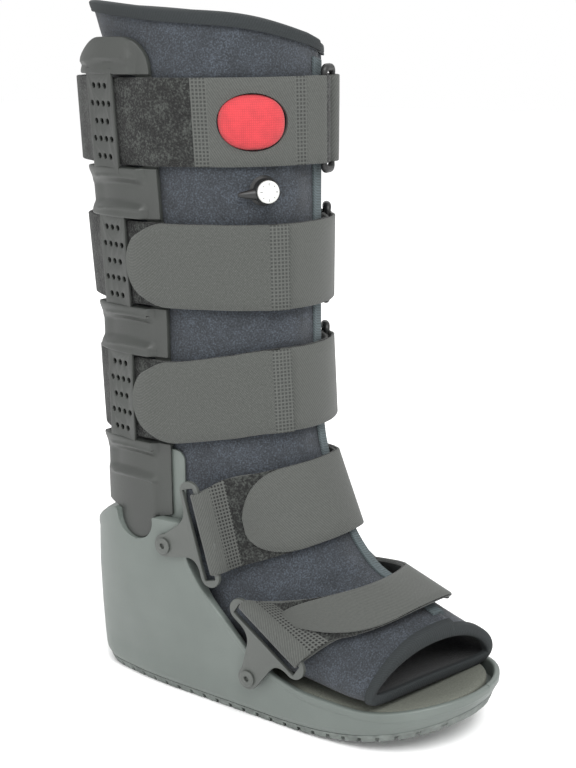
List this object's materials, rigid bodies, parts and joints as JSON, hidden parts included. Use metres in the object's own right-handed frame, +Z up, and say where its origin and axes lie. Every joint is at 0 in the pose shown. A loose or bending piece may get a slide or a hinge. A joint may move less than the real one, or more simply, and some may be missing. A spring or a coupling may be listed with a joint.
{
  "type": "medical walking boot",
  "caption": "Tall walking boot brace: a rocker-soled plastic shell and side uprights round a padded open-toe liner, closed by straps, with an air pump and valve.",
  "frame": {"origin": "on the ground, on the flat middle of the tread, straight below the side uprights", "axes": "+Z up along the leg, toes towards -Y, the side with the pump and valve at -X"},
  "size_m": [0.1446, 0.2852, 0.4335],
  "materials": {
    "shell_plastic": "moulded, finely grained, half matt",
    "tread": "matt moulded rubber",
    "footbed_foam": "matt foam",
    "liner_fabric": "brushed loop fabric over foam",
    "binding_fabric": "stretch binding tape",
    "webbing": "woven webbing with loop pile",
    "black_plastic": "half gloss",
    "white_plastic": "half gloss with moulded ticks",
    "pump_fabric": "red knit stretched over the bulb"
  },
  "bodies": {
    "boot": {"outsole": "tread", "shell": "shell_plastic", "footbed": "footbed_foam", "liner": "liner_fabric", "binding_top": "binding_fabric", "binding_toe": "binding_fabric", "binding_front": "binding_fabric", "upright_near": "shell_plastic", "upright_far": "shell_plastic", "bracket_ankle_near": "shell_plastic", "bracket_ankle_far": "shell_plastic", "rivet_ankle_near": "shell_plastic", "rivet_ankle_far": "shell_plastic", "bracket_forefoot_near": "shell_plastic", "bracket_forefoot_far": "shell_plastic", "rivet_forefoot_near": "shell_plastic", "rivet_forefoot_far": "shell_plastic", "strap_top": "webbing", "ring_top": "black_plastic", "strap_mid": "webbing", "ring_mid": "black_plastic", "strap_low": "webbing", "ring_low": "black_plastic", "tab_mid": "webbing", "tab_low": "webbing", "strap_ankle": "webbing", "strap_forefoot": "webbing", "pump": "pump_fabric", "valve_body": "black_plastic"},
    "dial": {"valve_dial": "white_plastic"}
  },
  "joints": [
    {"name": "valve_dial_turn", "type": "hinge", "parent": "boot", "child": "dial", "pos_m": [-0.03318, -0.08001, 0.326], "axis": [-0.5694, -0.8221, 0], "range_deg": [0, 90]}
  ]
}
